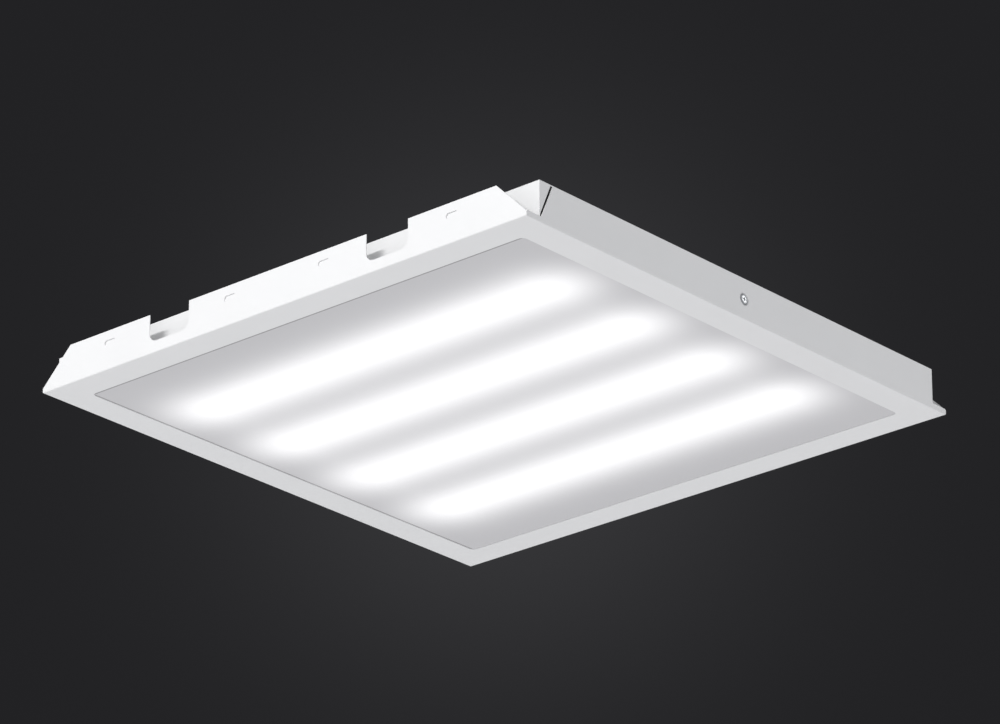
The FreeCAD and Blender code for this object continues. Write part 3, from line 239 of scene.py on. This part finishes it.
def band_light(tree, split, node):
    """How bright the sheet is across one strip's band: a bell curve about the strip."""
    low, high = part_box(node)
    middle = (low.y + high.y) / 2
    away = add_node(tree, "ShaderNodeMath", {SECOND: middle}, {FIRST: split.outputs["Y"]},
                    operation="SUBTRACT")
    scaled = add_node(tree, "ShaderNodeMath", {SECOND: BAND_SPREAD}, {FIRST: away.outputs[0]},
                      operation="DIVIDE")
    square = add_node(tree, "ShaderNodeMath", None,
                      {FIRST: scaled.outputs[0], SECOND: scaled.outputs[0]},
                      operation="MULTIPLY")
    halved = add_node(tree, "ShaderNodeMath", {SECOND: -0.5}, {FIRST: square.outputs[0]},
                      operation="MULTIPLY")
    return add_node(tree, "ShaderNodeMath", None, {FIRST: halved.outputs[0]},
                    operation="EXPONENT")


def light_through(tree, split):
    """What all four bands and the chamber send through the sheet's underside."""
    glow = band_light(tree, split, STRIP_NODES[0])
    for node in STRIP_NODES[1:]:
        band = band_light(tree, split, node)
        glow = add_node(tree, "ShaderNodeMath", None,
                        {FIRST: glow.outputs[0], SECOND: band.outputs[0]}, operation="ADD")
    reach = add_node(tree, "ShaderNodeMath", None, {FIRST: split.outputs["X"]},
                     operation="ABSOLUTE")
    fade = add_node(tree, "ShaderNodeMapRange",
                    {"From Min": BAND_FADE_START, "From Max": BAND_FADE_END,
                     "To Min": BAND_PEAK, "To Max": 0.0},
                    {"Value": reach.outputs[0]}, interpolation_type="SMOOTHSTEP")
    bands = add_node(tree, "ShaderNodeMath", None,
                     {FIRST: glow.outputs[0], SECOND: fade.outputs["Result"]},
                     operation="MULTIPLY")
    total = add_node(tree, "ShaderNodeMath", {SECOND: CHAMBER_GLOW}, {FIRST: bands.outputs[0]},
                     operation="ADD")
    low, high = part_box("opal_sheet")
    under = add_node(tree, "ShaderNodeMath", {SECOND: (low.z + high.z) / 2},
                     {FIRST: split.outputs["Z"]}, operation="LESS_THAN")
    return add_node(tree, "ShaderNodeMath", None,
                    {FIRST: total.outputs[0], SECOND: under.outputs[0]}, operation="MULTIPLY")


def light_past_the_lip(tree, split):
    """The share of light and colour at each place: all of it, but less beside the lip."""
    at_front = add_node(tree, "ShaderNodeMath", {SECOND: FRONT_SHADE},
                        {FIRST: split.outputs["Y"]}, operation="LESS_THAN")
    at_left = add_node(tree, "ShaderNodeMath", {SECOND: LEFT_SHADE},
                       {FIRST: split.outputs["X"]}, operation="LESS_THAN")
    shaded = add_node(tree, "ShaderNodeMath", None,
                      {FIRST: at_front.outputs[0], SECOND: at_left.outputs[0]},
                      operation="MAXIMUM")
    return add_node(tree, "ShaderNodeMapRange", {"To Min": 1.0, "To Max": SHADE_LEFT_OVER},
                    {"Value": shaded.outputs[0]})


def opal_sheet_lit():
    """The opal sheet's finish, with the strips' light coming out of its underside."""
    material, tree, shader, place = blank_material("opal_polystyrene_lit")
    split = add_node(tree, "ShaderNodeSeparateXYZ", links={"Vector": place})
    through = light_through(tree, split)
    passing = light_past_the_lip(tree, split)
    lit = add_node(tree, "ShaderNodeMath", None,
                   {FIRST: through.outputs[0], SECOND: passing.outputs["Result"]},
                   operation="MULTIPLY")
    colour = add_node(tree, "ShaderNodeMix",
                      {COLOUR_A: linear("#000000"), COLOUR_B: linear(OPAL_COLOUR)},
                      {"Factor": passing.outputs["Result"]}, data_type="RGBA")
    pebble = add_node(tree, "ShaderNodeTexNoise",
                      {"Scale": 1 / PEBBLE_PITCH, "Detail": PEBBLE_DETAIL}, {"Vector": place})
    bump = add_node(tree, "ShaderNodeBump", {"Distance": PEBBLE_RELIEF},
                    {"Height": pebble.outputs["Fac"]})
    tree.links.new(lit.outputs[0], shader.inputs["Emission Strength"])
    tree.links.new(colour.outputs[MIXED_COLOUR], shader.inputs["Base Color"])
    tree.links.new(bump.outputs["Normal"], shader.inputs["Normal"])
    shader.inputs["Emission Color"].default_value = linear(OPAL_LIGHT)
    shader.inputs["Roughness"].default_value = OPAL_ROUGHNESS
    return material


FINISHES = {
    # Polyester powder, sprayed on folded steel and baked: satin, with a slight orange peel.
    "white_enamel": grained("powder_coat_white", "#EFEFEF", "#EAEAEA",
                            grain_mm=1.6, relief_mm=0.02, roughness=0.38),
    # Opal polystyrene, extruded with a matt face: milky, and lit from behind.
    "opal_sheet": opal_sheet_lit(),
    # White solder mask, screened over copper: even, with half a gloss.
    "strip_board": grained("solder_mask_white", "#F0F0EC", "#E6E6E0",
                           grain_mm=0.8, relief_mm=0.01, roughness=0.35),
    # Silicone, cast over yellow phosphor: waxy and smooth.
    "diode": grained("phosphor_silicone", "#F2D25A", "#EEC53C",
                     grain_mm=0.4, relief_mm=0.01, roughness=0.25, ior=1.41),
    # Nylon, injection-moulded in a spark-eroded mould: warm white and dull.
    "white_nylon": grained("nylon_natural", "#E8E6DC", "#DEDBCF",
                           grain_mm=0.5, relief_mm=0.02, roughness=0.45, ior=1.53),
    # Zinc, bright plated on steel: a pale metal that softens what it mirrors.
    "zinc_steel": grained("zinc_plate", "#E2E4E6", "#CDD0D4",
                          grain_mm=0.6, relief_mm=0.01, roughness=0.24, metallic=1.0),
    # Polyamide, injection-moulded: pale grey and dull.
    "terminal_plastic": grained("polyamide_grey", "#D6D6D2", "#CACAC5",
                                grain_mm=0.5, relief_mm=0.02, roughness=0.42),
    # Polycarbonate, injection-moulded in a polished mould: deep colours with soft highlights.
    "button_brown": grained("polycarbonate_brown", "#6B4328", "#5E3A22",
                            grain_mm=0.4, relief_mm=0.01, roughness=0.3),
    "button_blue": grained("polycarbonate_blue", "#2E63B5", "#28589F",
                           grain_mm=0.4, relief_mm=0.01, roughness=0.3),
    "button_green": grained("polycarbonate_green", "#2F8A45", "#287A3C",
                            grain_mm=0.4, relief_mm=0.01, roughness=0.3),
    # PVC, extruded over the conductor: smooth, with half a gloss.
    "lead_white": grained("pvc_insulation_white", "#E9E8E4", "#DFDED9",
                          grain_mm=0.6, relief_mm=0.01, roughness=0.35),
    "lead_green": grained("pvc_insulation_green", "#3E8F33", "#35802B",
                          grain_mm=0.6, relief_mm=0.01, roughness=0.35),
    # Nitrile rubber, moulded: nearly black and matt.
    "black_rubber": grained("nitrile_rubber", "#24242A", "#1C1C20",
                            grain_mm=0.4, relief_mm=0.03, roughness=0.6),
    # Green solder mask, screened over a fibreglass board: glossy and a little uneven.
    "driver_board": grained("solder_mask_green", "#1E6A3C", "#195C33",
                            grain_mm=1.2, relief_mm=0.02, roughness=0.3),
    # Vulcanised fibre, rolled into sheet: buff, matt and a little uneven.
    "liner": grained("fish_paper", "#D8D2BC", "#CBC4AC",
                     grain_mm=1.5, relief_mm=0.03, roughness=0.6),
    # Ferrite, pressed and sintered: dark and dull like stone.
    "ferrite": grained("sintered_ferrite", "#3A3A3E", "#2E2E32",
                       grain_mm=0.5, relief_mm=0.04, roughness=0.5),
    # Polyester tape, wound tight: yellow and glossy.
    "winding": grained("polyester_tape", "#D9B82C", "#CDAA22",
                       grain_mm=0.8, relief_mm=0.01, roughness=0.25),
    # Polyester sleeve, shrunk over a drawn aluminium can: dark blue and glossy.
    "capacitor_can": grained("shrink_sleeve_blue", "#2B3A5E", "#243252",
                             grain_mm=0.8, relief_mm=0.01, roughness=0.3),
    # Polyester box, moulded and filled with epoxy: amber, with half a gloss.
    "film_box": grained("polyester_box_yellow", "#D9A93A", "#CF9E30",
                        grain_mm=0.6, relief_mm=0.02, roughness=0.35),
    # Brass, stamped and tinned: a pale gold metal.
    "brass": grained("tinned_brass", "#D3BE8C", "#C5AE78",
                     grain_mm=0.5, relief_mm=0.01, roughness=0.3, metallic=1.0),
}

for node, slot in SLOT_OF.items():
    mesh = NODES[node].data
    mesh.materials.clear()
    mesh.materials.append(FINISHES[slot])


# ------------------------------------------------------------------ modelling

def choose(piece):
    """Select one piece alone and make it the active one."""
    bpy.ops.object.select_all(action="DESELECT")
    piece.select_set(True)
    bpy.context.view_layer.objects.active = piece


def settle(piece):
    """Put a piece's place, turn and scale into its mesh."""
    choose(piece)
    bpy.ops.object.transform_apply(location=True, rotation=True, scale=True)


def smooth(piece):
    """Shade curved faces smooth and keep the edges between flat ones."""
    choose(piece)
    bpy.ops.object.shade_smooth_by_angle(angle=SHARP_ANGLE)


def start_edit(piece, domain="FACE"):
    """Enter edit mode on one piece, with nothing selected."""
    choose(piece)
    bpy.ops.object.mode_set(mode="EDIT")
    bpy.ops.mesh.select_mode(type=domain)
    bpy.ops.mesh.select_all(action="DESELECT")


def end_edit():
    """Go back to object mode."""
    bpy.ops.object.mode_set(mode="OBJECT")


def pick_end(piece, side):
    """In edit mode, select only the faces that look up, for side 1, or down, for side -1."""
    mesh = bmesh.from_edit_mesh(piece.data)
    for face in mesh.faces:
        face.select_set(side * face.normal.z > FACING)
    bmesh.update_edit_mesh(piece.data)


def add_cylinder(sides, radius, height):
    """A cylinder that stands on the origin, to be shaped further."""
    bpy.ops.object.select_all(action="DESELECT")
    bpy.ops.mesh.primitive_cylinder_add(vertices=sides, radius=radius, depth=height,
                                        location=(0, 0, height / 2))
    piece = bpy.context.object
    settle(piece)
    return piece


def twin(source, name):
    """A new object with its own copy of another one's mesh."""
    piece = bpy.data.objects.new(name, source.data.copy())
    bpy.context.scene.collection.objects.link(piece)
    return piece


def apply_modifier(piece, kind, **settings):
    """Add a modifier to one piece and apply it."""
    choose(piece)
    modifier = piece.modifiers.new(kind.lower(), kind)
    for name, value in settings.items():
        setattr(modifier, name, value)
    bpy.ops.object.modifier_apply(modifier=modifier.name)


def cut(piece, cutter):
    """Take a cutter's shape out of a piece."""
    apply_modifier(piece, "BOOLEAN", object=cutter, operation="DIFFERENCE", solver="EXACT")
    bpy.data.objects.remove(cutter)


def join(pieces):
    """Make one object of several, and return it."""
    choose(pieces[0])
    for piece in pieces[1:]:
        piece.select_set(True)
    bpy.ops.object.join()
    return pieces[0]


def fit(piece, node):
    """Let a finished piece stand for a CAD node, with its body, slot and finish."""
    slot = SLOT_OF[node]
    piece.data.materials.clear()
    piece.data.materials.append(FINISHES[slot])
    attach(piece, BODY_OF[node])
    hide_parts(node)


def round_edges(node, edge):
    """A copy of a CAD node, merged and with its edges rounded, stands for it."""
    piece = twin(NODES[node], f"{node}_rounded")
    start_edit(piece, "VERT")
    bpy.ops.mesh.select_all(action="SELECT")
    bpy.ops.mesh.remove_doubles(threshold=MERGE_DISTANCE)
    bpy.ops.mesh.dissolve_limited(angle_limit=FLAT_ANGLE)
    end_edit()
    apply_modifier(piece, "BEVEL", width=edge, segments=ROUNDED_STEPS, limit_method="ANGLE",
                   angle_limit=SHARP_ANGLE)
    smooth(piece)
    fit(piece, node)


def add_shank(piece, head_radius, shank_radius, length):
    """From a head's underside, grow a shank whose rings stand for the thread."""
    root = shank_radius - THREAD_DEPTH
    crest_growth = shank_radius / root
    pick_end(piece, -1)
    bpy.ops.mesh.inset(thickness=head_radius - root, depth=0)
    for number in range(2 * int(length / THREAD_PITCH)):
        growth = crest_growth if number % 2 == 0 else 1 / crest_growth
        level = -(number + 1) * THREAD_PITCH / 2
        bpy.ops.mesh.extrude_region_move(
            TRANSFORM_OT_translate={"value": (0, 0, -THREAD_PITCH / 2)})
        bpy.ops.transform.resize(value=(growth, growth, 1.0), center_override=(0, 0, level))


def raise_dome(piece):
    """Raise a pan head's flat top into a dome, ring by ring."""
    pick_end(piece, 1)
    step = math.pi / 2 / PAN_RINGS
    for ring in range(PAN_RINGS):
        start = ring * step
        end = (ring + RING_SHARE) * step
        bpy.ops.mesh.inset(thickness=PAN_RADIUS * (math.cos(start) - math.cos(end)),
                           depth=PAN_DOME * (math.sin(end) - math.sin(start)))


def recess_blade(turned):
    """One pair of the cross recess's wings, narrower at its bottom."""
    bpy.ops.object.select_all(action="DESELECT")
    bpy.ops.mesh.primitive_cube_add(size=1)
    blade = bpy.context.object
    blade.scale = (2 * RECESS_REACH, RECESS_WING, 2 * RECESS_DEPTH)
    blade.rotation_euler.z = turned
    settle(blade)
    start_edit(blade)
    pick_end(blade, -1)
    bpy.ops.transform.resize(value=(RECESS_TAPER, RECESS_TAPER, 1.0),
                             center_override=(0, 0, -RECESS_DEPTH))
    end_edit()
    return blade


def pan_screw(length):
    """A screw with a domed head, a tapered cross recess and a threaded shank, facing up."""
    piece = add_cylinder(PAN_SIDES, PAN_RADIUS, PAN_RIM)
    start_edit(piece)
    raise_dome(piece)
    add_shank(piece, PAN_RADIUS, SIDE_SHANK / 2, length)
    end_edit()
    for turned in RECESS_TURNS:
        blade = recess_blade(turned)
        blade.location.z = PAN_RIM + PAN_DOME
        cut(piece, blade)
    smooth(piece)
    return piece


def make_side_screws():
    """A pan screw in each side's cup, facing outward."""
    low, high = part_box("side_screw_right")
    model = pan_screw(high.x - low.x - SIDE_HEAD)
    for node, outward in (("side_screw_right", 1), ("side_screw_left", -1)):
        piece = twin(model, f"{node}_pan_head")
        piece.rotation_euler.y = outward * math.pi / 2
        piece.location = (outward * (high.x - SIDE_HEAD), 0, (low.z + high.z) / 2)
        settle(piece)
        fit(piece, node)
    bpy.data.objects.remove(model)


def hexagon_head():
    """A chamfered hexagon head with a shallow dish in its top."""
    head = add_cylinder(HEX_SIDES, TAPPING_FLATS / math.sqrt(3), TAPPING_HEAD)
    start_edit(head)
    pick_end(head, 1)
    bpy.ops.mesh.inset(thickness=HEX_CHAMFER, depth=HEX_CHAMFER / 2)
    bpy.ops.mesh.inset(thickness=2 * HEX_CHAMFER, depth=0)
    bpy.ops.mesh.inset(thickness=HEX_CHAMFER / 2, depth=-HEX_CHAMFER)
    end_edit()
    return head


def tapping_screw(length):
    """A hexagon head on a round collar, with a threaded shank below."""
    collar = add_cylinder(COLLAR_SIDES, COLLAR_RADIUS, COLLAR_HEIGHT)
    start_edit(collar)
    add_shank(collar, COLLAR_RADIUS, TAPPING_SHANK / 2, length)
    end_edit()
    head = hexagon_head()
    for piece in (head, collar):
        apply_modifier(piece, "BEVEL", width=HEX_EDGE, segments=HEX_EDGE_STEPS,
                       limit_method="ANGLE")
    return join([collar, head])


def make_tapping_screws(node, places, seat, length):
    """Tapping screws at several places on one seat, as one piece."""
    model = tapping_screw(length)
    screws = []
    for x, y in places:
        screw = twin(model, f"{node}_collared")
        screw.location = (x, y, seat)
        settle(screw)
        screws.append(screw)
    bpy.data.objects.remove(model)
    piece = join(screws)
    smooth(piece)
    fit(piece, node)


make_side_screws()
make_tapping_screws("cover_screws", COVER_SCREW_PLACES, COVER_SCREW_SEAT, COVER_SCREW_LENGTH)
make_tapping_screws("clamp_screws", CLAMP_SCREW_PLACES, CLAMP_SCREW_SEAT, CLAMP_SCREW_LENGTH)
for node, edge in ROUNDED_EDGES.items():
    round_edges(node, edge)


# ------------------------------------------------------------------ studio

def make_floor():
    """A plain pale floor of matt paper, far below the ceiling."""
    bpy.ops.object.select_all(action="DESELECT")
    bpy.ops.mesh.primitive_plane_add(size=FLOOR_WIDTH, location=(0, 0, FLOOR_LEVEL))
    floor = bpy.context.object
    floor.name = "studio_floor"
    floor.data.materials.append(grained("studio_paper", FLOOR_COLOUR, FLOOR_COLOUR,
                                        grain_mm=6.0, relief_mm=0.0, roughness=0.8))


def make_lamp(name, shape, width, power, place, travel):
    """An area lamp at a place, aimed the way its light goes."""
    light = bpy.data.lights.new(name, "AREA")
    light.shape = shape
    light.size = width
    light.energy = power
    lamp = bpy.data.objects.new(name, light)
    bpy.context.scene.collection.objects.link(lamp)
    lamp.location = place
    lamp.rotation_euler = travel.to_track_quat("-Z", "Y").to_euler()
    return lamp


def make_lamps():
    """The key lamp, and a rim and a fill lamp that the camera doesn't see."""
    travel = Vector(KEY_TRAVEL).normalized()
    key = make_lamp("key_lamp", "RECTANGLE", KEY_WIDTH, KEY_POWER, -KEY_DISTANCE * travel, travel)
    key.data.size_y = KEY_HEIGHT
    rim = make_lamp("rim_lamp", "DISK", RIM_WIDTH, RIM_POWER, RIM_PLACE, -Vector(RIM_PLACE))
    rim.visible_camera = False
    fill = make_lamp("fill_lamp", "SQUARE", FILL_WIDTH, FILL_POWER, FILL_PLACE,
                     -Vector(FILL_PLACE))
    fill.visible_camera = False


def make_surround():
    """A bright even surround, which the camera sees as a dark backdrop with a soft glow."""
    world = bpy.data.worlds.new("surround")
    world.use_nodes = True
    tree = world.node_tree
    tree.nodes.clear()
    path = add_node(tree, "ShaderNodeLightPath")
    strength = add_node(tree, "ShaderNodeMapRange",
                        {"To Min": SURROUND_STRENGTH, "To Max": MIRRORED_STRENGTH},
                        {"Value": path.outputs["Is Glossy Ray"]})
    bright = add_node(tree, "ShaderNodeBackground", {"Color": linear(SURROUND)},
                      {"Strength": strength.outputs["Result"]})
    # The glow fades with the angle from the line through the luminaire, as a bell curve.
    view = add_node(tree, "ShaderNodeTexCoord").outputs["Generated"]
    straight = (Vector(GLOW_PLACE) - Vector(CAMERA_PLACE)).normalized()
    along = add_node(tree, "ShaderNodeVectorMath", {SECOND: straight}, {FIRST: view},
                     operation="DOT_PRODUCT")
    away = add_node(tree, "ShaderNodeMath", {SECOND: 1.0}, {FIRST: along.outputs["Value"]},
                    operation="SUBTRACT")
    scaled = add_node(tree, "ShaderNodeMath", {SECOND: 1 / GLOW_SPREAD ** 2},
                      {FIRST: away.outputs[0]}, operation="MULTIPLY")
    bell = add_node(tree, "ShaderNodeMath", None, {FIRST: scaled.outputs[0]},
                    operation="EXPONENT")
    colour = add_node(tree, "ShaderNodeMix",
                      {COLOUR_A: linear(BACKDROP), COLOUR_B: linear(BACKDROP_GLOW)},
                      {"Factor": bell.outputs[0]}, data_type="RGBA")
    seen = add_node(tree, "ShaderNodeBackground", {"Strength": 1.0},
                    {"Color": colour.outputs[MIXED_COLOUR]})
    choice = add_node(tree, "ShaderNodeMixShader", None,
                      {"Fac": path.outputs["Is Camera Ray"],
                       SHADER_A: bright.outputs["Background"],
                       SHADER_B: seen.outputs["Background"]})
    add_node(tree, "ShaderNodeOutputWorld", links={"Surface": choice.outputs[0]})
    bpy.context.scene.world = world


def make_camera():
    """A long lens where the photograph was taken from."""
    right = Vector(CAMERA_RIGHT)
    up = Vector(CAMERA_UP)
    back = right.cross(up)
    lens = bpy.data.cameras.new("camera")
    lens.lens = CAMERA_LENS
    lens.sensor_width = SENSOR_WIDTH
    lens.sensor_fit = "HORIZONTAL"
    lens.clip_end = FARTHEST
    camera = bpy.data.objects.new("camera", lens)
    bpy.context.scene.collection.objects.link(camera)
    turned = Matrix((right, up, back)).transposed().to_4x4()
    camera.matrix_world = Matrix.Translation(CAMERA_PLACE) @ turned
    bpy.context.scene.camera = camera


make_camera()
make_floor()
make_lamps()
make_surround()
bpy.context.scene.view_settings.view_transform = "Standard"
